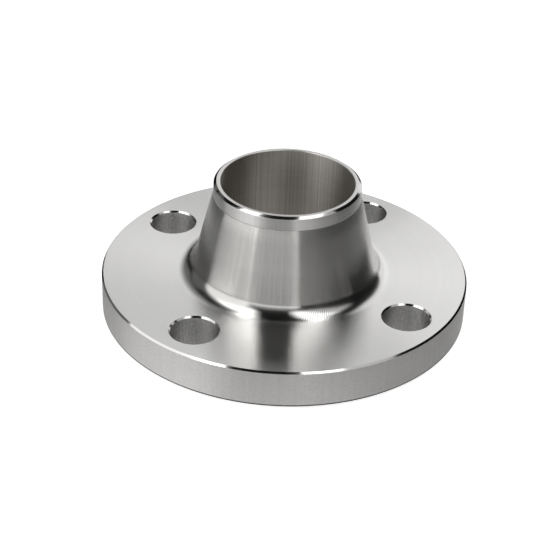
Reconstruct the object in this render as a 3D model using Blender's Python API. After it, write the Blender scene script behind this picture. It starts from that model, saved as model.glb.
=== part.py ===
"""Weld neck pipe flange, 2 inch pipe size: one forging in stainless steel, turned all over.

The flange is a single piece, so the model is a single solid. Its outline is turned about Z, and the
four bolt holes are then drilled through the plate. Z = 0 is the gasket face, +Z runs along the bore
towards the weld end, and the bolt holes straddle the X and Y axes, as pipe fitters set them.
"""

from math import atan2, cos, pi, radians, sin, tan

import bpy
from mathutils import Vector

MM = 0.001

# Driving dimensions, in millimetres.
PLATE_DIAMETER = 152.4
PLATE_THICKNESS = 16.0
PLATE_BACK_CHAMFER = 0.7
PLATE_FRONT_CHAMFER = 0.5

RAISED_FACE_DIAMETER = 92.1
RAISED_FACE_HEIGHT = 1.6
RAISED_FACE_CHAMFER = 0.3

PIPE_DIAMETER = 60.3
PIPE_WALL = 2.77
BORE_EDGE_BREAK = 0.3

HUB_BASE_DIAMETER = 77.8  # where the cone would meet the back of the plate
HUB_FILLET_RADIUS = 7.0
HUB_HEIGHT = 33.4  # from the back of the plate to the top of the cone
SHOULDER_STEP = 0.75  # how far the cone's top stands out from the pipe end
NECK_HEIGHT = 41.0  # from the back of the plate to the weld end

ROOT_FACE = 1.6  # the flat land left at the weld end
BEVEL_ANGLE = radians(37.5)  # of the weld bevel, from the plane of the weld end

BOLT_CIRCLE_DIAMETER = 120.65
BOLT_HOLE_DIAMETER = 19.05
BOLT_HOLE_CHAMFER = 0.65
BOLT_COUNT = 4
FIRST_BOLT_ANGLE = pi / 4

# How finely round shapes are divided.
BODY_SEGMENTS = 96
HOLE_SEGMENTS = 32
FILLET_SEGMENTS = 7
SHOULDER_SEGMENTS = 3
SHARP_EDGE = radians(18)

# Levels along Z that several features share.
PLATE_FRONT = RAISED_FACE_HEIGHT
PLATE_BACK = PLATE_FRONT + PLATE_THICKNESS
HUB_TOP = PLATE_BACK + HUB_HEIGHT
WELD_END = PLATE_BACK + NECK_HEIGHT

PIPE_RADIUS = PIPE_DIAMETER / 2
BORE_RADIUS = PIPE_RADIUS - PIPE_WALL


def clear_scene():
    """Remove every object that the scene starts with."""
    for obj in list(bpy.data.objects):
        bpy.data.objects.remove(obj, do_unlink=True)


def steel():
    """The satin stainless steel of the whole forging."""
    material = bpy.data.materials.new("turned_stainless_steel")
    material.use_nodes = True
    shader = material.node_tree.nodes["Principled BSDF"]
    shader.inputs["Base Color"].default_value = (0.60, 0.59, 0.57, 1.0)
    shader.inputs["Metallic"].default_value = 1.0
    shader.inputs["Roughness"].default_value = 0.28
    return material


def arc(centre, radius, start, end, segments):
    """Points along an arc in the (radius, height) plane, both ends included."""
    steps = [start + (end - start) * i / segments for i in range(segments + 1)]
    return [(centre[0] + radius * cos(a), centre[1] + radius * sin(a)) for a in steps]


def weld_end_outline():
    """The root face and the bevel, from the bore out to the pipe's outside."""
    land_radius = BORE_RADIUS + ROOT_FACE
    bevel_drop = (PIPE_RADIUS - land_radius) * tan(BEVEL_ANGLE)
    return [
        (BORE_RADIUS, WELD_END - BORE_EDGE_BREAK),
        (BORE_RADIUS + BORE_EDGE_BREAK, WELD_END),
        (land_radius, WELD_END),
        (PIPE_RADIUS, WELD_END - bevel_drop),
    ]


def shoulder_outline():
    """The small hollow radius between the pipe end and the top of the cone."""
    centre = (PIPE_RADIUS + SHOULDER_STEP, HUB_TOP + SHOULDER_STEP)
    return arc(centre, SHOULDER_STEP, pi, 1.5 * pi, SHOULDER_SEGMENTS)


def hub_fillet_outline():
    """The fillet where the cone runs out into the back of the plate."""
    taper = atan2(HUB_BASE_DIAMETER / 2 - PIPE_RADIUS - SHOULDER_STEP, HUB_HEIGHT)
    tangent = HUB_FILLET_RADIUS * tan(pi / 4 - taper / 2)
    centre = (HUB_BASE_DIAMETER / 2 + tangent, PLATE_BACK + HUB_FILLET_RADIUS)
    return arc(centre, HUB_FILLET_RADIUS, pi + taper, 1.5 * pi, FILLET_SEGMENTS)


def plate_outline():
    """The rim of the plate, from its back face down to its front face."""
    radius = PLATE_DIAMETER / 2
    return [
        (radius - PLATE_BACK_CHAMFER, PLATE_BACK),
        (radius, PLATE_BACK - PLATE_BACK_CHAMFER),
        (radius, PLATE_FRONT + PLATE_FRONT_CHAMFER),
        (radius - PLATE_FRONT_CHAMFER, PLATE_FRONT),
    ]


def gasket_face_outline():
    """The raised gasket face, from its rim in to the bore."""
    radius = RAISED_FACE_DIAMETER / 2
    return [
        (radius, PLATE_FRONT),
        (radius, RAISED_FACE_CHAMFER),
        (radius - RAISED_FACE_CHAMFER, 0.0),
        (BORE_RADIUS + BORE_EDGE_BREAK, 0.0),
        (BORE_RADIUS, BORE_EDGE_BREAK),
    ]


def flange_outline():
    """The closed outline of the forging, down its outer side and up its bore."""
    return [
        *weld_end_outline(),
        *shoulder_outline(),
        *hub_fillet_outline(),
        *plate_outline(),
        *gasket_face_outline(),
    ]


def bolt_drill_outline():
    """A drill with countersinks, which chamfers both ends of the hole that it cuts."""
    radius = BOLT_HOLE_DIAMETER / 2
    overrun = 2.0
    wide = radius + BOLT_HOLE_CHAMFER + overrun
    return [
        (0.0, PLATE_BACK + overrun),
        (wide, PLATE_BACK + overrun),
        (radius, PLATE_BACK - BOLT_HOLE_CHAMFER),
        (radius, PLATE_FRONT + BOLT_HOLE_CHAMFER),
        (wide, PLATE_FRONT - overrun),
        (0.0, PLATE_FRONT - overrun),
    ]


def turned(name, outline, segments, closed):
    """An object turned about its own Z axis from an outline of (radius, height) points."""
    points = [(radius * MM, 0.0, height * MM) for radius, height in outline]
    edges = [(i, i + 1) for i in range(len(points) - 1)]
    if closed:
        edges.append((len(points) - 1, 0))
    mesh = bpy.data.meshes.new(name)
    mesh.from_pydata(points, edges, [])
    obj = bpy.data.objects.new(name, mesh)
    bpy.context.scene.collection.objects.link(obj)

    screw = obj.modifiers.new("turn", "SCREW")
    screw.angle = 2 * pi
    screw.steps = segments
    screw.render_steps = segments
    screw.use_merge_vertices = True
    screw.merge_threshold = 0.00001
    return obj


def bolt_drills():
    """One cutter for each bolt hole, placed on the bolt circle."""
    drills = []
    for index in range(BOLT_COUNT):
        drill = turned(f"bolt_drill_{index + 1}", bolt_drill_outline(), HOLE_SEGMENTS, closed=False)
        angle = FIRST_BOLT_ANGLE + index * 2 * pi / BOLT_COUNT
        drill.location = Vector((cos(angle), sin(angle), 0)) * (BOLT_CIRCLE_DIAMETER / 2 * MM)
        drill.hide_render = True
        drill.display_type = "WIRE"
        drills.append(drill)
    return drills


def apply_and_smooth(obj):
    """Apply the object's modifiers, then shade it smooth between its sharp edges."""
    depsgraph = bpy.context.evaluated_depsgraph_get()
    mesh = bpy.data.meshes.new_from_object(obj.evaluated_get(depsgraph))
    mesh.shade_smooth()
    mesh.set_sharp_from_angle(angle=SHARP_EDGE)
    obj.modifiers.clear()
    obj.data = mesh


def weld_neck_flange():
    """The whole forging, turned and drilled."""
    flange = turned("weld_neck_flange", flange_outline(), BODY_SEGMENTS, closed=True)
    for drill in bolt_drills():
        cut = flange.modifiers.new(f"drill with {drill.name}", "BOOLEAN")
        cut.operation = "DIFFERENCE"
        cut.solver = "EXACT"
        cut.object = drill
    flange.data.materials.append(steel())
    apply_and_smooth(flange)
    return flange


def main():
    clear_scene()
    weld_neck_flange()


main()
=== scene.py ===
"""Weld neck pipe flange: the looks of the turned forging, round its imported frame.

The flange is one forging in stainless steel, so the visual model is one piece. Geometry Nodes turn its
outline about Z and drill the bolt holes, and each zone that a lathe tool left gets its own finish.
"""

import logging
from dataclasses import dataclass, replace
from enum import Enum
from math import atan2, ceil, cos, pi, radians, sin, tan

import bpy
from mathutils import Matrix, Vector


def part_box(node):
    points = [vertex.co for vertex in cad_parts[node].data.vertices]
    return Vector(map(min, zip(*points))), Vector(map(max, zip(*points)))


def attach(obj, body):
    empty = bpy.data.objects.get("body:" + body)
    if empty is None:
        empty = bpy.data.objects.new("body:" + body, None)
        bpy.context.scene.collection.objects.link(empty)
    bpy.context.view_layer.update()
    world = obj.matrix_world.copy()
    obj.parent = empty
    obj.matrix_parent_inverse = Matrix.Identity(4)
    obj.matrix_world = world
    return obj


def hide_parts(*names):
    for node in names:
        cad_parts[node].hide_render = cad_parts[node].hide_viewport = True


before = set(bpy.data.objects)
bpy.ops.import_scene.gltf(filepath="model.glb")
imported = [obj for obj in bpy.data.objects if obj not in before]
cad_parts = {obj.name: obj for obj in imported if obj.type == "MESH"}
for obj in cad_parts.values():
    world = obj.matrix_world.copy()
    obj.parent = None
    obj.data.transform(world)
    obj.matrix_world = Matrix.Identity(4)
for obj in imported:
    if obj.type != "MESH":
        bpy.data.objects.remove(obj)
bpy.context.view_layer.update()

LOG = logging.getLogger("weld_neck_flange")
MM = 0.001
NODE = "weld_neck_flange"

Pair = tuple[float, float]
Colour = tuple[float, float, float]
Rgba = tuple[float, float, float, float]

# How many straight steps make a tool's hollow, an eased corner and the bore's edge break.
HOLLOW_STEPS = 4
EASE_STEPS = 5
CORNER_STEPS = 4

BLACK: Rgba = (0.0, 0.0, 0.0, 1.0)
WHITE: Rgba = (1.0, 1.0, 1.0, 1.0)

# Turns the way that a highlight spreads, from along the tool's grooves to across them.
QUARTER_TURN = 0.25

# A lamp's energy for each square metre of its face, where its radiance is 1.
WATTS_FOR_RADIANCE = 4.0

# How a node tree is laid out: nodes in a row, and the spacing across and down.
NODES_IN_ROW = 12
NODE_SPACING = (190, 260)


class Zone(Enum):
    """The surfaces of the flange, each left by its own tool and with its own finish."""

    ROOT_FACE = 0
    BEVEL = 1
    NECK = 2
    HUB = 3
    PLATE_BACK = 4
    RIM_CHAMFER = 5
    RIM = 6
    PLATE_FRONT = 7
    GASKET_FACE = 8
    BORE = 9
    BOLT_HOLE = 10
    HOLE_CHAMFER = 11
    FILLET = 12
    # The rim's foot and its front chamfer, painted near black as the shadow where the rim meets the floor.
    PAINTED_SHADOW_EDGE = 13


# ---------------------------------------------------------------------------------------------------
# Node trees
# ---------------------------------------------------------------------------------------------------


class Tree:
    """A node tree that is written from left to right, one node at a time."""

    def __init__(self, nodes: bpy.types.NodeTree) -> None:
        """Keep the tree that the nodes go into.

        Args:
            nodes: The node tree to write to.
        """
        self.nodes = nodes
        self.count = 0

    def add(self, kind: str, inputs: dict | None = None, **settings: object) -> bpy.types.Node:
        """Add a node, set it up and feed its inputs.

        Args:
            kind: The node's Blender type.
            inputs: For each input's name or index, the value or the output socket that feeds it.
            settings: The node's own properties.

        Returns:
            The new node.
        """
        node = self.nodes.nodes.new(kind)
        self.count += 1
        down, across = divmod(self.count, NODES_IN_ROW)
        node.location = (across * NODE_SPACING[0], -down * NODE_SPACING[1])
        for name, value in settings.items():
            setattr(node, name, value)
        for key, value in (inputs or {}).items():
            self.feed(node.inputs[key], value)
        return node

    def feed(self, socket: bpy.types.NodeSocket, value: object) -> None:
        """Link an output to an input socket, or set the socket's own value.

        Args:
            socket: The input socket.
            value: The output that feeds it, or its value.
        """
        if isinstance(value, bpy.types.NodeSocket):
            self.nodes.links.new(value, socket)
        else:
            socket.default_value = value

    def math(self, operation: str, *values: object, clamp: bool = False) -> bpy.types.NodeSocket:
        """Add a Math node.

        Args:
            operation: The node's operation.
            values: Numbers or sockets, in the order of the node's inputs.
            clamp: Whether the result is held between 0 and 1.

        Returns:
            The node's result.
        """
        node = self.add("ShaderNodeMath", dict(enumerate(values)), operation=operation, use_clamp=clamp)
        return node.outputs[0]

    def vector(self, operation: str, *values: object, output: str = "Vector") -> bpy.types.NodeSocket:
        """Add a Vector Math node.

        Args:
            operation: The node's operation.
            values: Vectors or sockets, in the order of the node's inputs.
            output: The name of the output to give back.

        Returns:
            The named output.
        """
        node = self.add("ShaderNodeVectorMath", dict(enumerate(values)), operation=operation)
        return node.outputs[output]

    def mix(self, factor: object, low: object, high: object) -> bpy.types.NodeSocket:
        """Add a colour mix.

        Args:
            factor: How far the colour goes from low to high.
            low: The colour where the factor is 0.
            high: The colour where the factor is 1.

        Returns:
            The mixed colour.
        """
        node = self.add("ShaderNodeMix", data_type="RGBA")
        for index, value in ((0, factor), (6, low), (7, high)):
            self.feed(node.inputs[index], value)
        return node.outputs[2]

    def span(self, value: object, *limits: float) -> bpy.types.NodeSocket:
        """Map a value from one range to another, and hold it there.

        Args:
            value: The value to map.
            limits: The low and high ends of its range, and then those of the new range.

        Returns:
            The mapped value.
        """
        node = self.add("ShaderNodeMapRange", {0: value}, clamp=True)
        for index, limit in enumerate(limits, start=1):
            node.inputs[index].default_value = limit
        return node.outputs[0]


def new_group(name: str, kind: str, inputs: dict[str, object], outputs: dict[str, str]) -> Tree:
    """Make an empty node group with named sockets.

    Args:
        name: The group's name.
        kind: The node tree's Blender type.
        inputs: For each input, its socket type, or a pair of the type and the default value.
        outputs: For each output, its socket type.

    Returns:
        The group's tree.
    """
    group = bpy.data.node_groups.new(name, kind)
    for label, form in inputs.items():
        socket_type, default = form if isinstance(form, tuple) else (form, None)
        socket = group.interface.new_socket(label, in_out="INPUT", socket_type=socket_type)
        if default is not None:
            socket.default_value = default
    for label, socket_type in outputs.items():
        group.interface.new_socket(label, in_out="OUTPUT", socket_type=socket_type)
    return Tree(group)


# ---------------------------------------------------------------------------------------------------
# The forging
# ---------------------------------------------------------------------------------------------------


@dataclass(frozen=True)
class Sizes:
    """The flange's dimensions, in metres."""

    plate_radius: float
    height: float
    raised_face_height: float = 1.6 * MM
    plate_thickness: float = 16.0 * MM
    plate_back_chamfer: float = 0.7 * MM
    plate_front_chamfer: float = 0.4 * MM
    raised_face_radius: float = 46.05 * MM
    raised_face_chamfer: float = 0.3 * MM
    pipe_radius: float = 30.15 * MM
    pipe_wall: float = 2.77 * MM
    bore_edge_break: float = 0.3 * MM
    root_face: float = 1.6 * MM
    bevel_angle: float = radians(37.5)
    hub_base_radius: float = 38.9 * MM
    hub_fillet_radius: float = 7.0 * MM
    hub_height: float = 33.4 * MM
    shoulder_step: float = 0.75 * MM
    bolt_circle_radius: float = 60.325 * MM
    bolt_hole_radius: float = 9.525 * MM
    bolt_hole_chamfer: float = 0.65 * MM
    bolt_count: int = 4
    first_bolt_angle: float = pi / 4

    @property
    def plate_back(self) -> float:
        """The height of the plate's back, where the nuts sit."""
        return self.raised_face_height + self.plate_thickness

    @property
    def hub_top(self) -> float:
        """The height of the top of the cone."""
        return self.plate_back + self.hub_height

    @property
    def bore_radius(self) -> float:
        """The radius of the bore."""
        return self.pipe_radius - self.pipe_wall

    @classmethod
    def from_frame(cls) -> "Sizes":
        """Take the plate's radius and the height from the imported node."""
        low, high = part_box(NODE)
        return cls(plate_radius=(high[0] - low[0]) / 2, height=high[2] - low[2])


@dataclass(frozen=True)
class Station:
    """A point of the outline, and the zone that the outline crosses from there to the next one."""

    radius: float
    height: float
    zone: Zone


def hollow(step: int) -> float:
    """How deep a tool's hollow is at one of its steps, from 0 at its crest to 1 at its middle."""
    across = step % HOLLOW_STEPS / HOLLOW_STEPS
    return 4 * across * (1 - across)


class Outline:
    """The closed outline that the lathe follows, down its outer side and back up the bore."""

    def __init__(self) -> None:
        """Start with no stations."""
        self.stations: list[Station] = []

    def go(self, radius: float, height: float, zone: Zone) -> None:
        """Add one station."""
        self.stations.append(Station(radius, height, zone))

    def arc(self, centre: Pair, radius: float, turn: Pair, steps: int, zone: Zone,
            scallop: float = 0.0) -> None:
        """Add an arc, which may carry the shallow hollows that a round-nosed tool leaves.

        Args:
            centre: The arc's centre, as radius and height.
            radius: The arc's radius.
            turn: The angles at which it starts and ends.
            steps: The number of straight steps in it.
            zone: The zone that it belongs to.
            scallop: How deep each hollow is.
        """
        for i in range(steps + 1):
            angle = turn[0] + (turn[1] - turn[0]) * i / steps
            reach = radius + scallop * hollow(i)
            self.go(centre[0] + reach * cos(angle), centre[1] + reach * sin(angle), zone)

    def ease(self, corner: Pair, before: Pair, after: Pair, width: float, zone: Zone) -> None:
        """Break a sharp corner with a small round, as a deburring stone does.

        Args:
            corner: The sharp corner.
            before: A point on the outline ahead of the corner.
            after: A point on the outline past it.
            width: How far from the corner the round starts and ends.
            zone: The zone that the round and what follows it belong to.
        """
        at = Vector(corner)
        start = at + (Vector(before) - at).normalized() * width
        end = at + (Vector(after) - at).normalized() * width
        for i in range(EASE_STEPS + 1):
            t = i / EASE_STEPS
            spot = start * (1 - t) ** 2 + at * 2 * t * (1 - t) + end * t**2
            self.go(spot.x, spot.y, zone)

    def mesh(self, name: str) -> bpy.types.Mesh:
        """Make a mesh of the stations, in order, with each one's zone as an attribute.

        Args:
            name: The mesh's name.

        Returns:
            The mesh, which has vertices alone.
        """
        mesh = bpy.data.meshes.new(name)
        mesh.from_pydata([(s.radius, 0.0, s.height) for s in self.stations], [], [])
        zones = mesh.attributes.new("zone", "INT", "POINT")
        zones.data.foreach_set("value", [s.zone.value for s in self.stations])
        return mesh


@dataclass
class Forging:
    """The flange itself: one outline, turned about Z and then drilled."""

    sizes: Sizes
    segments: int = 192
    hole_segments: int = 72
    deburr: float = 0.12 * MM
    shoulder_run: float = 3.4 * MM
    shoulder_ease: float = 0.3 * MM
    cone_ease: float = 2.9 * MM
    fillet_scallops: int = 14
    fillet_scallop_depth: float = 0.007 * MM
    fillet_foot_scallops: int = 4
    # The height of the band at the rim's foot that carries the painted shadow.
    painted_shadow_band: float = 0.5 * MM
    groove_pitch: float = 0.5 * MM
    groove_depth: float = 0.045 * MM
    drill_feed: float = 0.55 * MM
    drill_feed_depth: float = 0.012 * MM
    drill_overrun: float = 2.0 * MM
    weld_distance: float = 0.001 * MM
    sharp_edge: float = radians(24)

    def weld_end(self, line: Outline) -> None:
        """Run the outline over the root face, the bevel and the straight neck.

        Args:
            line: The outline, which this starts.
        """
        s = self.sizes
        land = s.bore_radius + s.root_face
        bevel_foot = s.height - (s.pipe_radius - land) * tan(s.bevel_angle)
        broken = s.bore_radius + s.bore_edge_break
        line.arc((broken, s.height - s.bore_edge_break), s.bore_edge_break, (pi, pi / 2), CORNER_STEPS,
                 Zone.ROOT_FACE)
        line.go(land, s.height, Zone.BEVEL)
        line.ease((s.pipe_radius, bevel_foot), (land, s.height), (s.pipe_radius, s.hub_top),
                  self.deburr, Zone.NECK)

    def hub(self, line: Outline) -> None:
        """Run the outline down the shoulder, the cone and the scalloped fillet.

        Args:
            line: The outline, which has come down to the neck.
        """
        s = self.sizes
        step = s.shoulder_step
        taper = atan2(s.hub_base_radius - s.pipe_radius - step, s.hub_height)
        drop = self.shoulder_run / 2
        top = (s.pipe_radius + step + drop * tan(taper), s.hub_top - drop)
        neck_foot = (s.pipe_radius, s.hub_top + drop)
        below = (top[0] + MM * sin(taper), top[1] - MM * cos(taper))
        line.ease(neck_foot, (s.pipe_radius, s.height), top, self.shoulder_ease, Zone.HUB)
        line.ease(top, neck_foot, below, self.cone_ease, Zone.HUB)
        tangent = s.hub_fillet_radius * tan(pi / 4 - taper / 2)
        centre = (s.hub_base_radius + tangent, s.plate_back + s.hub_fillet_radius)
        line.arc(centre, s.hub_fillet_radius, (pi + taper, 1.5 * pi), HOLLOW_STEPS * self.fillet_scallops,
                 Zone.FILLET, scallop=self.fillet_scallop_depth)
        foot = HOLLOW_STEPS * self.fillet_foot_scallops
        line.stations[-foot:] = [replace(p, zone=Zone.PLATE_BACK) for p in line.stations[-foot:]]

    def plate(self, line: Outline) -> None:
        """Run the outline over the plate's back, its rim and its front.

        Args:
            line: The outline, which has come down the hub.
        """
        s = self.sizes
        radius, back, front = s.plate_radius, s.plate_back, s.raised_face_height
        line.stations[-1] = replace(line.stations[-1], height=back)
        line.go(radius - s.plate_back_chamfer, back, Zone.RIM_CHAMFER)
        line.go(radius, back - s.plate_back_chamfer, Zone.RIM)
        # The band at the rim's foot and the front chamfer below it take the painted shadow.
        line.go(radius, front + s.plate_front_chamfer + self.painted_shadow_band, Zone.PAINTED_SHADOW_EDGE)
        line.go(radius, front + s.plate_front_chamfer, Zone.PAINTED_SHADOW_EDGE)
        line.go(radius - s.plate_front_chamfer, front, Zone.PLATE_FRONT)

    def gasket_face(self, line: Outline) -> None:
        """Run the outline over the raised face, whose fine grooves bite into the gasket.

        Args:
            line: The outline, which has crossed the plate's front.
        """
        s = self.sizes
        outer, inner = s.raised_face_radius, s.bore_radius + s.bore_edge_break
        line.go(outer, s.raised_face_height, Zone.RIM_CHAMFER)
        line.go(outer, s.raised_face_chamfer, Zone.RIM_CHAMFER)
        line.go(outer - s.raised_face_chamfer, 0.0, Zone.GASKET_FACE)
        start = outer - 2 * s.raised_face_chamfer
        count = int((start - inner) / self.groove_pitch)
        for i in range(HOLLOW_STEPS * count + 1):
            depth = self.groove_depth * hollow(i)
            line.go(start - i * self.groove_pitch / HOLLOW_STEPS, depth, Zone.GASKET_FACE)
        line.go(inner, 0.0, Zone.GASKET_FACE)
        line.go(s.bore_radius, s.bore_edge_break, Zone.BORE)

    def outline(self) -> Outline:
        """Put the whole outline together.

        Returns:
            The closed outline, from the bore's edge at the weld end and back to it.
        """
        line = Outline()
        self.weld_end(line)
        self.hub(line)
        self.plate(line)
        self.gasket_face(line)
        return line

    def drill_outline(self) -> Outline:
        """Draw the drill, which chamfers both mouths and leaves its feed marks.

        Returns:
            The drill's outline, from above the plate to below it.
        """
        s = self.sizes
        line = Outline()
        radius, cut, past = s.bolt_hole_radius, s.bolt_hole_chamfer, self.drill_overrun
        back, front = s.plate_back, s.raised_face_height
        wide = radius + cut + past
        line.go(0.0, back + past, Zone.HOLE_CHAMFER)
        line.go(wide, back + past, Zone.HOLE_CHAMFER)
        line.go(radius, back - cut, Zone.BOLT_HOLE)
        marks = ceil((s.plate_thickness - 2 * cut) / self.drill_feed)
        pitch = (s.plate_thickness - 2 * cut) / marks
        for i in range(1, 2 * marks):
            reach = radius - self.drill_feed_depth * (i % 2)
            line.go(reach, back - cut - i * pitch / 2, Zone.BOLT_HOLE)
        line.go(radius, front + cut, Zone.HOLE_CHAMFER)
        line.go(wide, front - past, Zone.HOLE_CHAMFER)
        line.go(0.0, front - past, Zone.HOLE_CHAMFER)
        return line

    def turn_group(self) -> bpy.types.NodeTree:
        """Make the node group that turns an outline about Z.

        Returns:
            The group. Its grid has one column for each segment, and takes the outline's points.
        """
        g = new_group(
            "turn an outline", "GeometryNodeTree",
            {"Outline": "NodeSocketGeometry", "Segments": ("NodeSocketInt", 96)},
            {"Turned": "NodeSocketGeometry"},
        )
        entry = g.add("NodeGroupInput")
        outline, segments = entry.outputs["Outline"], entry.outputs["Segments"]
        size = g.add("GeometryNodeAttributeDomainSize", {"Geometry": outline}, component="MESH")
        stations = size.outputs["Point Count"]
        rows = g.math("ADD", stations, 1.0)
        columns = g.math("ADD", segments, 1.0)
        grid = g.add("GeometryNodeMeshGrid", {"Vertices X": columns, "Vertices Y": rows})
        index = g.add("GeometryNodeInputIndex").outputs[0]

        # Half a step keeps the division clear of rounding errors.
        column = g.math("FLOOR", g.math("DIVIDE", g.math("ADD", index, 0.5), rows))
        row = g.math("SUBTRACT", index, g.math("MULTIPLY", column, rows))
        place = g.add("GeometryNodeInputPosition").outputs[0]
        at_row = {"Geometry": outline, "Value": place, "Index": g.math("MODULO", row, stations)}
        point = g.add("GeometryNodeSampleIndex", at_row, data_type="FLOAT_VECTOR", domain="POINT")
        angle = g.math("MULTIPLY", g.math("DIVIDE", column, segments), 2 * pi)
        turned = g.add("ShaderNodeVectorRotate", {"Vector": point.outputs[0], "Angle": angle},
                       rotation_type="Z_AXIS")
        moved = g.add("GeometryNodeSetPosition",
                      {"Geometry": grid.outputs["Mesh"], "Position": turned.outputs[0]})

        zone = g.add("GeometryNodeInputNamedAttribute", {"Name": "zone"}, data_type="INT")
        face_row = g.math("MODULO", index, stations)
        at_face = {"Geometry": outline, "Value": zone.outputs["Attribute"], "Index": face_row}
        face_zone = g.add("GeometryNodeSampleIndex", at_face, data_type="INT", domain="POINT")
        marked = g.add(
            "GeometryNodeStoreNamedAttribute",
            {"Geometry": moved.outputs[0], "Name": "zone", "Value": face_zone.outputs[0]},
            data_type="INT", domain="FACE",
        )
        joined = g.add("GeometryNodeMergeByDistance",
                       {"Geometry": marked.outputs[0], "Distance": self.weld_distance})
        # Where an outline runs along the axis, its faces merge into one bare edge, which goes.
        faces_met = g.add("GeometryNodeInputMeshEdgeNeighbors").outputs[0]
        bare = g.math("LESS_THAN", faces_met, 0.5)
        clean = g.add("GeometryNodeDeleteGeometry", {"Geometry": joined.outputs[0], "Selection": bare},
                      domain="EDGE", mode="EDGE_FACE")
        outward = g.add("GeometryNodeFlipFaces", {"Mesh": clean.outputs[0]})
        exit_node = g.add("NodeGroupOutput")
        g.feed(exit_node.inputs["Turned"], outward.outputs[0])
        return g.nodes

    def tree(self, finishes: dict[Zone, bpy.types.Material]) -> bpy.types.NodeTree:
        """Make the node tree that turns the forging, drills it and dresses each zone.

        Args:
            finishes: The material of each zone.

        Returns:
            The tree for a Geometry Nodes modifier.
        """
        turn = self.turn_group()
        g = new_group(
            "turn and drill a flange", "GeometryNodeTree",
            {
                "Outline": "NodeSocketGeometry",
                "Drill": "NodeSocketObject",
                "Segments": "NodeSocketInt",
                "Hole Segments": "NodeSocketInt",
                "Bolt Count": "NodeSocketInt",
                "Bolt Circle Radius": "NodeSocketFloat",
                "First Bolt Angle": "NodeSocketFloat",
            },
            {"Flange": "NodeSocketGeometry"},
        )
        entry = g.add("NodeGroupInput").outputs
        body = g.add("GeometryNodeGroup", node_tree=turn)
        g.feed(body.inputs["Outline"], entry["Outline"])
        g.feed(body.inputs["Segments"], entry["Segments"])

        drill_line = g.add("GeometryNodeObjectInfo", {"Object": entry["Drill"]})
        drill = g.add("GeometryNodeGroup", node_tree=turn)
        g.feed(drill.inputs["Outline"], drill_line.outputs["Geometry"])
        g.feed(drill.inputs["Segments"], entry["Hole Segments"])
        circle = g.add("GeometryNodeMeshCircle",
                       {"Vertices": entry["Bolt Count"], "Radius": entry["Bolt Circle Radius"]})
        spin = g.add("ShaderNodeCombineXYZ", {"Z": entry["First Bolt Angle"]})
        spots = g.add("GeometryNodeTransform", {"Geometry": circle.outputs[0], "Rotation": spin.outputs[0]})
        drills = g.add("GeometryNodeInstanceOnPoints",
                       {"Points": spots.outputs[0], "Instance": drill.outputs[0]})
        solid_drills = g.add("GeometryNodeRealizeInstances", {"Geometry": drills.outputs[0]})
        cut = g.add("GeometryNodeMeshBoolean", operation="DIFFERENCE", solver="EXACT")
        g.feed(cut.inputs["Mesh 1"], body.outputs[0])
        g.feed(cut.inputs["Mesh 2"], solid_drills.outputs[0])

        shape = g.add("GeometryNodeRealizeInstances", {"Geometry": cut.outputs[0]}).outputs[0]
        zone = g.add("GeometryNodeInputNamedAttribute", {"Name": "zone"}, data_type="INT")
        for place, material in finishes.items():
            here = g.add("FunctionNodeCompare", data_type="INT", operation="EQUAL")
            g.feed(here.inputs[2], zone.outputs["Attribute"])
            g.feed(here.inputs[3], place.value)
            dressed = g.add("GeometryNodeSetMaterial", {"Geometry": shape, "Selection": here.outputs[0]})
            dressed.inputs["Material"].default_value = material
            shape = dressed.outputs[0]
        exit_node = g.add("NodeGroupOutput")
        g.feed(exit_node.inputs["Flange"], shape)
        return g.nodes

    def build(self, finishes: dict[Zone, bpy.types.Material]) -> bpy.types.Object:
        """Make the forging as a plain mesh.

        Args:
            finishes: The material of each zone.

        Returns:
            The finished piece.
        """
        s = self.sizes
        drill = bpy.data.objects.new("drill outline", self.drill_outline().mesh("drill outline"))
        work = bpy.data.objects.new("flange outline", self.outline().mesh("flange outline"))
        for part in (drill, work):
            bpy.context.scene.collection.objects.link(part)
        tree = self.tree(finishes)
        lathe = work.modifiers.new("turn and drill", "NODES")
        lathe.node_group = tree
        values = {
            "Drill": drill,
            "Segments": self.segments,
            "Hole Segments": self.hole_segments,
            "Bolt Count": s.bolt_count,
            "Bolt Circle Radius": s.bolt_circle_radius,
            "First Bolt Angle": s.first_bolt_angle,
        }
        for socket in tree.interface.items_tree:
            if socket.in_out == "INPUT" and socket.name in values:
                lathe[socket.identifier] = values[socket.name]

        depsgraph = bpy.context.evaluated_depsgraph_get()
        mesh = bpy.data.meshes.new_from_object(work.evaluated_get(depsgraph), depsgraph=depsgraph)
        work.modifiers.remove(lathe)
        for part in (drill, work):
            bpy.data.objects.remove(part)
        mesh.name = "flange_forging"
        mesh.shade_smooth()
        mesh.set_sharp_from_angle(angle=self.sharp_edge)
        piece = bpy.data.objects.new("flange_forging", mesh)
        bpy.context.scene.collection.objects.link(piece)
        return piece


# ---------------------------------------------------------------------------------------------------
# Finishes
# ---------------------------------------------------------------------------------------------------


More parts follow.
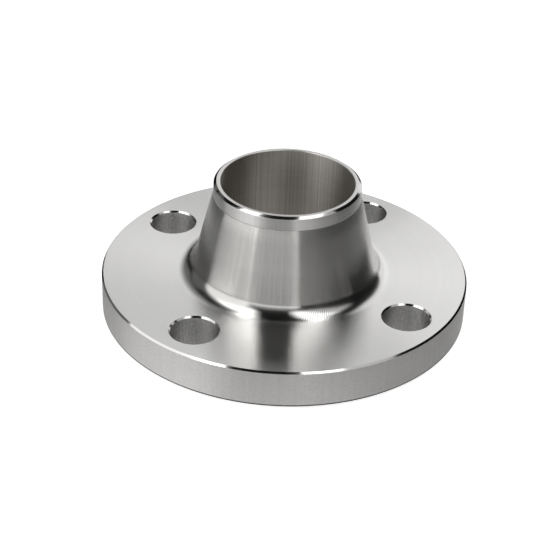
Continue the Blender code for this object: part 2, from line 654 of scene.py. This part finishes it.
class SharedEffects:
    """The shader groups that more than one finish uses."""

    # Noise scales: for each ring, for each metre, or for each radian round the axis.
    BAND_SCALE = 0.13
    SMUDGE_SCALE = 40.0
    SPECK_SCALE = 1400.0
    STREAK_SCALE = 38.0

    def __init__(self) -> None:
        """Build each group once."""
        self.rings = self.turning_rings()
        self.wear = self.handling_wear()
        self.chatter = self.chatter_marks()

    def turning_rings(self) -> bpy.types.NodeTree:
        """Rings round the axis, as a lathe's feed leaves them.

        Returns:
            A group that gives a ring height and a tone, both from 0 to 1.
        """
        g = new_group(
            "turning rings", "ShaderNodeTree",
            {"Position": "NodeSocketVector", "Rings per Metre": ("NodeSocketFloat", 3000.0)},
            {"Height": "NodeSocketFloat", "Tone": "NodeSocketFloat"},
        )
        entry = g.add("NodeGroupInput").outputs
        split = g.add("ShaderNodeSeparateXYZ", {0: entry["Position"]}).outputs
        radius = g.math("SQRT", g.math("ADD", g.math("MULTIPLY", split[0], split[0]),
                                       g.math("MULTIPLY", split[1], split[1])))
        along = g.math("SUBTRACT", split[2], radius)
        feed = g.math("MULTIPLY", along, entry["Rings per Metre"])
        fine = g.add("ShaderNodeTexNoise", {"W": feed, "Scale": 1.0, "Detail": 2.0}, noise_dimensions="1D")
        broad = g.add("ShaderNodeTexNoise", {"W": feed, "Scale": self.BAND_SCALE, "Detail": 3.0},
                      noise_dimensions="1D")
        exit_node = g.add("NodeGroupOutput")
        g.feed(exit_node.inputs["Height"], fine.outputs[0])
        g.feed(exit_node.inputs["Tone"], broad.outputs[0])
        return g.nodes

    def handling_wear(self) -> bpy.types.NodeTree:
        """Faint smudges and fine specks, from handling and storage.

        Returns:
            A group that gives a smudge mask and a speck mask, both from 0 to 1.
        """
        g = new_group(
            "handling wear", "ShaderNodeTree",
            {"Position": "NodeSocketVector"},
            {"Smudge": "NodeSocketFloat", "Speck": "NodeSocketFloat"},
        )
        entry = g.add("NodeGroupInput").outputs
        place = entry["Position"]
        cloud = g.add("ShaderNodeTexNoise", {"Vector": place, "Scale": self.SMUDGE_SCALE, "Detail": 2.0})
        dust = g.add("ShaderNodeTexNoise", {"Vector": place, "Scale": self.SPECK_SCALE, "Detail": 2.0})
        exit_node = g.add("NodeGroupOutput")
        g.feed(exit_node.inputs["Smudge"], cloud.outputs[0])
        g.feed(exit_node.inputs["Speck"], dust.outputs[0])
        return g.nodes

    def chatter_marks(self) -> bpy.types.NodeTree:
        """The slanted ripples of a chattering tool, and the streaks that run across its grooves.

        Returns:
            A group that gives a ripple height, from -1 to 1, and a streak mask, from 0 to 1.
        """
        g = new_group(
            "chatter marks", "ShaderNodeTree",
            {
                "Position": "NodeSocketVector",
                "Marks": ("NodeSocketFloat", 264.0),
                "Slant per Metre": ("NodeSocketFloat", -4000.0),
            },
            {"Height": "NodeSocketFloat", "Streak": "NodeSocketFloat"},
        )
        entry = g.add("NodeGroupInput").outputs
        split = g.add("ShaderNodeSeparateXYZ", {0: entry["Position"]}).outputs
        angle = g.math("ARCTAN2", split[1], split[0])
        streak = g.add("ShaderNodeTexNoise", {"W": angle, "Scale": self.STREAK_SCALE, "Detail": 3.0},
                       noise_dimensions="1D")
        slant = g.math("MULTIPLY", split[2], entry["Slant per Metre"])
        phase = g.math("ADD", g.math("MULTIPLY", angle, entry["Marks"]), slant)
        exit_node = g.add("NodeGroupOutput")
        g.feed(exit_node.inputs["Height"], g.math("SINE", phase))
        g.feed(exit_node.inputs["Streak"], streak.outputs[0])
        return g.nodes


@dataclass(frozen=True)
class Finish:
    """A machined finish of stainless steel, or a painted shadow on it where the rim meets the floor.

    Depths are in millimetres. A tone is a share of the finish's own colour, and smudge, speck, hatch and
    streak say how far each kind of mark takes the colour to its tone. A streak's tone is black.
    """

    name: str
    colour: Colour = (0.66, 0.65, 0.635)
    roughness: float = 0.26
    roughness_spread: float = 0.05
    anisotropy: float = 1.0
    tone_spread: float = 0.08
    rings_per_metre: float = 3000.0
    ring_depth: float = 0.002
    smudge: float = 0.04
    smudge_tone: float = 0.8
    speck: float = 0.0
    speck_tone: float = 0.8
    pit_depth: float = 0.0
    chatter_depth: float = 0.0
    hatch: float = 0.0
    hatch_tone: float = 0.4
    streak: float = 0.0
    streak_span: Pair = (0.35, 0.65)
    in_holes: bool = False

    def shade(self, tone: float) -> Rgba:
        """The finish's own colour, made darker or lighter."""
        return tuple(min(1.0, c * tone) for c in self.colour) + (1.0,)

    def from_hole_axis(self, t: Tree, place: bpy.types.NodeSocket) -> bpy.types.NodeSocket:
        """Measure positions from the axis of the nearest bolt hole, where the holes lie on the diagonals.

        Args:
            t: The material's tree.
            place: The position from the flange's own axis.

        Returns:
            The position from the hole's axis.
        """
        reach = Sizes.bolt_circle_radius * cos(Sizes.first_bolt_angle)
        side = t.vector("SIGN", place)
        return t.vector("SUBTRACT", place, t.vector("MULTIPLY", side, (reach, reach, 0.0)))

    def material(self, effects: SharedEffects) -> bpy.types.Material:
        """Make the finish's material.

        Args:
            effects: The shared shader groups.

        Returns:
            The material.
        """
        made = bpy.data.materials.new(self.name)
        made.use_nodes = True
        made.node_tree.nodes.clear()
        t = Tree(made.node_tree)
        place = t.add("ShaderNodeTexCoord").outputs["Object"]
        if self.in_holes:
            place = self.from_hole_axis(t, place)
        rings = t.add("ShaderNodeGroup", node_tree=effects.rings)
        t.feed(rings.inputs["Position"], place)
        t.feed(rings.inputs["Rings per Metre"], self.rings_per_metre)
        wear = t.add("ShaderNodeGroup", node_tree=effects.wear)
        t.feed(wear.inputs["Position"], place)
        chatter = t.add("ShaderNodeGroup", node_tree=effects.chatter)
        t.feed(chatter.inputs["Position"], place)

        dark, light = self.shade(1 - self.tone_spread), self.shade(1 + self.tone_spread)
        tone = t.mix(rings.outputs["Tone"], dark, light)
        smudge = t.math("MULTIPLY", wear.outputs["Smudge"], self.smudge)
        smudged = t.mix(smudge, tone, self.shade(self.smudge_tone))
        speck = t.math("MULTIPLY", wear.outputs["Speck"], self.speck)
        specked = t.mix(speck, smudged, self.shade(self.speck_tone))
        streaks = t.span(chatter.outputs["Streak"], *self.streak_span, 0.0, self.streak)
        streaked = t.mix(streaks, specked, BLACK)
        hatch = t.span(chatter.outputs["Height"], -1.0, 1.0, 0.0, self.hatch)
        colour = t.mix(hatch, streaked, self.shade(self.hatch_tone))
        rough = t.math("MULTIPLY_ADD", wear.outputs["Smudge"], self.roughness_spread, self.roughness)
        height = t.math("MULTIPLY", rings.outputs["Height"], self.ring_depth)
        if self.pit_depth:
            height = t.math("MULTIPLY_ADD", wear.outputs["Speck"], self.pit_depth, height)
        if self.chatter_depth:
            height = t.math("MULTIPLY_ADD", chatter.outputs["Height"], self.chatter_depth, height)
        bump = t.add("ShaderNodeBump", {"Strength": 1.0, "Distance": MM, "Height": height})
        around = t.vector("CROSS_PRODUCT", (0.0, 0.0, 1.0), place)
        shader = t.add(
            "ShaderNodeBsdfPrincipled",
            {"Base Color": colour, "Metallic": 1.0, "Roughness": rough, "Normal": bump.outputs[0],
             "Anisotropic": self.anisotropy, "Anisotropic Rotation": QUARTER_TURN, "Tangent": around},
        )
        t.add("ShaderNodeOutputMaterial", {"Surface": shader.outputs[0]})
        return made


FINISHES: dict[Zone, Finish] = {
    Zone.ROOT_FACE: Finish("faced_root_face", colour=(0.75, 0.74, 0.72), roughness=0.3, anisotropy=0.6),
    Zone.BEVEL: Finish("cut_weld_bevel", roughness=0.1, anisotropy=0.3, ring_depth=0.0005),
    Zone.NECK: Finish("turned_neck", colour=(0.9, 0.89, 0.875), roughness=0.34, ring_depth=0.004,
                      streak=0.06),
    Zone.HUB: Finish("turned_hub", colour=(0.8, 0.79, 0.77), roughness=0.21, ring_depth=0.01,
                     chatter_depth=0.001, hatch=0.1, streak=0.08),
    Zone.FILLET: Finish("turned_fillet", colour=(0.88, 0.87, 0.85), roughness=0.13, ring_depth=0.003,
                        chatter_depth=0.004, hatch=0.7),
    Zone.PLATE_BACK: Finish("faced_plate_back", colour=(0.79, 0.785, 0.775), roughness=0.2, ring_depth=0.003,
                            tone_spread=0.02),
    Zone.RIM_CHAMFER: Finish("bright_chamfer", colour=(0.8, 0.79, 0.78), roughness=0.08, anisotropy=0.3,
                             ring_depth=0.0005),
    Zone.RIM: Finish("turned_rim", colour=(0.9, 0.89, 0.875), roughness=0.48, anisotropy=0.9,
                     tone_spread=0.02, speck=0.9, speck_tone=0.7, smudge=0.5, streak=0.03),
    # Near black: a painted shadow at the rim's foot, where it meets the floor.
    Zone.PAINTED_SHADOW_EDGE: Finish("painted_shadow_front_edge", colour=(0.12, 0.117, 0.113), roughness=0.5, anisotropy=0.0),
    Zone.PLATE_FRONT: Finish("faced_plate_front", roughness=0.22, ring_depth=0.003, tone_spread=0.02),
    Zone.GASKET_FACE: Finish("grooved_gasket_face", roughness=0.28, anisotropy=0.7),
    Zone.BORE: Finish("bored_pipe_bore", colour=(0.61, 0.585, 0.545), roughness=0.42, anisotropy=0.86,
                      streak=0.22),
    Zone.BOLT_HOLE: Finish("drilled_hole_wall", colour=(0.97, 0.96, 0.94), roughness=0.4, anisotropy=0.9,
                           speck=1.0, speck_tone=0.4, streak=0.3, pit_depth=0.3, in_holes=True),
    Zone.HOLE_CHAMFER: Finish("countersunk_mouth", roughness=0.12, anisotropy=0.3, pit_depth=0.02,
                              in_holes=True),
}


# ---------------------------------------------------------------------------------------------------
# The studio
# ---------------------------------------------------------------------------------------------------


@dataclass(frozen=True)
class Camera:
    """A long lens that looks down on the flange."""

    azimuth: float = radians(-10)
    elevation: float = radians(32.0)
    roll: float = radians(2.13)
    distance: float = 646.5 * MM
    aim_right: float = 1.91 * MM
    aim_up: float = 5.29 * MM
    lens: float = 99.13
    sensor: float = 36.0

    def axes(self) -> tuple[Vector, Vector, Vector]:
        """Work out where the camera points.

        Returns:
            The camera's right, up and back directions.
        """
        a, e, r = self.azimuth, self.elevation, self.roll
        back = Vector((sin(a) * cos(e), -cos(a) * cos(e), sin(e)))
        level = Vector((cos(a), sin(a), 0.0))
        upright = back.cross(level)
        return cos(r) * level + sin(r) * upright, cos(r) * upright - sin(r) * level, back

    def build(self, target: Vector) -> bpy.types.Object:
        """Make the camera, and make it the scene's own.

        Args:
            target: The point that the view is framed on.

        Returns:
            The camera object.
        """
        right, up, back = self.axes()
        data = bpy.data.cameras.new("camera")
        data.lens = self.lens
        data.sensor_width = self.sensor
        camera = bpy.data.objects.new("camera", data)
        placed = Matrix((right, up, back)).transposed().to_4x4()
        placed.translation = target - right * self.aim_right - up * self.aim_up + back * self.distance
        camera.matrix_world = placed
        bpy.context.scene.collection.objects.link(camera)
        bpy.context.scene.camera = camera
        return camera


class Hang(Enum):
    """How a soft box is set up."""

    STANDING = "upright, facing the flange"
    OVERHEAD = "level, facing down"


@dataclass(frozen=True)
class SoftBox:
    """A soft box, placed from the flange's axis in the camera's own directions."""

    name: str
    hang: Hang
    right: float
    away: float
    up: float
    width: float
    height: float
    radiance: float

    @classmethod
    def standing(cls, name: str, edges: Pair, distance: float, heights: Pair, radiance: float) -> "SoftBox":
        """Stand a soft box on a circle round the flange.

        Args:
            name: The soft box's name.
            edges: The bearings of its two sides, in degrees to the right of the camera.
            distance: How far it stands from the flange's axis.
            heights: The heights of its lower and upper edges.
            radiance: How bright its face is, where 1 is white.

        Returns:
            The soft box.
        """
        bearing = radians(sum(edges) / 2)
        width = 2 * distance * tan(radians(edges[1] - edges[0]) / 2)
        return cls(name, Hang.STANDING, distance * sin(bearing), -distance * cos(bearing), sum(heights) / 2,
                   width, heights[1] - heights[0], radiance)

    @classmethod
    def overhead(cls, name: str, right: Pair, away: Pair, height: float, radiance: float) -> "SoftBox":
        """Hang a soft box level above the flange.

        Args:
            name: The soft box's name.
            right: Where its left and right sides are, to the right of the flange's axis.
            away: Where its near and far sides are, away from the camera.
            height: How high it hangs.
            radiance: How bright its face is, where 1 is white.

        Returns:
            The soft box.
        """
        return cls(name, Hang.OVERHEAD, sum(right) / 2, sum(away) / 2, height,
                   right[1] - right[0], away[1] - away[0], radiance)

    def build(self, camera_azimuth: float) -> bpy.types.Object:
        """Set the soft box up.

        Args:
            camera_azimuth: The direction that the camera looks from, about Z.

        Returns:
            The lamp.
        """
        data = bpy.data.lights.new(self.name, "AREA")
        data.shape = "RECTANGLE"
        data.size = self.width
        data.size_y = self.height
        data.energy = self.radiance * self.width * self.height * WATTS_FOR_RADIANCE
        place = Vector((self.right, self.away, self.up))
        outward = Vector((0, 0, 1)) if self.hang is Hang.OVERHEAD else Vector((self.right, self.away, 0))
        facing = outward.to_track_quat("Z", "Y").to_matrix().to_4x4()
        facing.translation = place
        lamp = bpy.data.objects.new(self.name, data)
        lamp.matrix_world = Matrix.Rotation(camera_azimuth, 4, "Z") @ facing
        lamp.visible_camera = False
        bpy.context.scene.collection.objects.link(lamp)
        return lamp


# A standing soft box has its edges, distance, heights and radiance, and an overhead one has its sides to the
# right, its sides away from the camera, its height and its radiance.
SOFT_BOXES: tuple[SoftBox, ...] = (
    SoftBox.standing("left_low", (-100, -45), 0.65, (0.0, 0.6), 0.88),
    SoftBox.standing("left_strip", (-45, -40), 0.65, (0.0, 0.35), 1.15),
    SoftBox.standing("left_high", (-94, -38), 0.65, (0.6, 1.2), 1.9),
    SoftBox.standing("left_top", (-94, -66), 0.65, (1.2, 2.2), 1.75),
    SoftBox.standing("left_end", (-130, -100), 0.65, (0.0, 0.45), 0.1),
    SoftBox.overhead("right_main", (0.16, 0.5), (-1.12, 0.08), 0.8, 1.4),
    SoftBox.overhead("left_roof", (-0.29, -0.19), (-0.05, 0.3), 0.8, 2.4),
    SoftBox.overhead("right_roof", (0.16, 0.26), (0.08, 0.3), 0.8, 2.4),
    SoftBox.overhead("right_edge", (0.5, 1.0), (-1.12, 0.08), 0.8, 0.42),
    SoftBox.standing("back_right", (138, 168), 1.2, (0.05, 1.4), 0.82),
    SoftBox.standing("back_left", (168, 198), 1.2, (0.5, 1.4), 0.72),
    SoftBox.standing("back_low", (168, 198), 1.2, (0.05, 0.5), 0.21),
    SoftBox.standing("back_end", (198, 225), 1.2, (0.3, 1.4), 0.13),
    SoftBox.standing("front_low", (-40, 8), 1.0, (0.0, 0.26), 0.88),
    SoftBox.standing("front_strip", (8, 18), 1.0, (0.0, 0.26), 0.98),
    SoftBox.standing("front_high", (-40, 16), 1.0, (0.26, 0.55), 0.17),
)


def grey(tone: float) -> Rgba:
    """An even grey, with its alpha."""
    return (tone, tone, tone, 1.0)


@dataclass(frozen=True)
class Studio:
    """The floor, the room's own light and the soft boxes.

    The backdrop and the seen values are what the camera meets, and the others light the metal. There the
    floor is a painted pool of light: near to white and glowing out to the patch's edge, and dark past it.
    """

    camera: Camera
    room_light: float = 0.008
    backdrop: float = 1.0
    floor_side: float = 6.0
    floor_seen: float = 0.9
    floor_glow_seen: float = 0.75
    floor_near: float = 0.85
    floor_far: float = 0.12
    floor_glow: float = 0.2
    lit_patch_edge: Pair = (0.12, 0.17)

    def floor(self) -> bpy.types.Object:
        """Lay the pale floor, an even white to the eye.

        Returns:
            The floor, which shows from above alone.
        """
        half = self.floor_side / 2
        mesh = bpy.data.meshes.new("floor")
        mesh.from_pydata([(-half, -half, 0), (half, -half, 0), (half, half, 0), (-half, half, 0)], [],
                         [(0, 1, 2, 3)])
        made = bpy.data.materials.new("pale_floor")
        made.use_nodes = True
        made.cycles.emission_sampling = "NONE"
        made.node_tree.nodes.clear()
        t = Tree(made.node_tree)
        place = t.add("ShaderNodeTexCoord").outputs["Object"]
        reach = t.vector("LENGTH", place, output="Value")
        # To the metal alone, the floor has a painted pool of light round the flange: pale and glowing near
        # it, dark past the patch's edge.
        lit_patch = t.span(reach, *self.lit_patch_edge, 1.0, 0.0)
        colour = t.mix(lit_patch, grey(self.floor_far), grey(self.floor_near))
        met = self.lit(t, colour, t.math("MULTIPLY", lit_patch, self.floor_glow))
        seen = self.lit(t, grey(self.floor_seen), self.floor_glow_seen)
        path = t.add("ShaderNodeLightPath").outputs
        clear = t.add("ShaderNodeBsdfTransparent").outputs[0]
        top = self.choose(t, path["Is Camera Ray"], met, seen)
        shown = self.choose(t, t.add("ShaderNodeNewGeometry").outputs["Backfacing"], top, clear)
        t.add("ShaderNodeOutputMaterial", {"Surface": shown})
        mesh.materials.append(made)
        floor = bpy.data.objects.new("floor", mesh)
        bpy.context.scene.collection.objects.link(floor)
        return floor

    def lit(self, t: Tree, colour: object, glow: object) -> bpy.types.NodeSocket:
        """Add a matt surface that also glows by itself.

        Args:
            t: The material's tree.
            colour: The surface's colour.
            glow: How strongly it glows.

        Returns:
            The surface's shader.
        """
        both = t.add("ShaderNodeAddShader")
        t.feed(both.inputs[0], t.add("ShaderNodeBsdfDiffuse", {"Color": colour}).outputs[0])
        t.feed(both.inputs[1], t.add("ShaderNodeEmission", {"Strength": glow}).outputs[0])
        return both.outputs[0]

    def choose(self, t: Tree, when: object, otherwise: object, then: object) -> bpy.types.NodeSocket:
        """Add a choice between two shaders.

        Args:
            t: The material's tree.
            when: 1 where the second shader shows, and 0 elsewhere.
            otherwise: The first shader.
            then: The second shader.

        Returns:
            The shader that shows.
        """
        both = t.add("ShaderNodeMixShader")
        for index, value in enumerate((when, otherwise, then)):
            t.feed(both.inputs[index], value)
        return both.outputs[0]

    def room(self) -> None:
        """Make the room, which is a pale backdrop to the eye and dim to the metal."""
        world = bpy.data.worlds.new("room")
        world.use_nodes = True
        world.node_tree.nodes.clear()
        t = Tree(world.node_tree)
        path = t.add("ShaderNodeLightPath")
        dim = t.add("ShaderNodeBackground", {"Strength": self.room_light})
        pale = t.add("ShaderNodeBackground", {"Color": WHITE, "Strength": self.backdrop})
        both = t.add("ShaderNodeMixShader")
        t.feed(both.inputs[0], path.outputs["Is Camera Ray"])
        t.feed(both.inputs[1], dim.outputs[0])
        t.feed(both.inputs[2], pale.outputs[0])
        t.add("ShaderNodeOutputWorld", {"Surface": both.outputs[0]})
        bpy.context.scene.world = world

    def build(self, target: Vector) -> None:
        """Set the studio up round the flange.

        Args:
            target: The point that the camera is framed on.
        """
        self.camera.build(target)
        self.floor()
        self.room()
        for box in SOFT_BOXES:
            box.build(self.camera.azimuth)
        bpy.context.scene.view_settings.view_transform = "Standard"


def main() -> None:
    """Build the flange and the studio, and report what was made."""
    logging.basicConfig(level=logging.INFO, format="%(name)s: %(message)s")
    sizes = Sizes.from_frame()
    effects = SharedEffects()
    finishes = {zone: finish.material(effects) for zone, finish in FINISHES.items()}
    forging = Forging(sizes).build(finishes)
    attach(forging, "root")
    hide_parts(NODE)
    LOG.info("%s: %d faces, %d finishes", forging.name, len(forging.data.polygons), len(finishes))
    Studio(Camera()).build(Vector((0.0, 0.0, sizes.plate_back)))


if __name__ == "__main__":
    main()
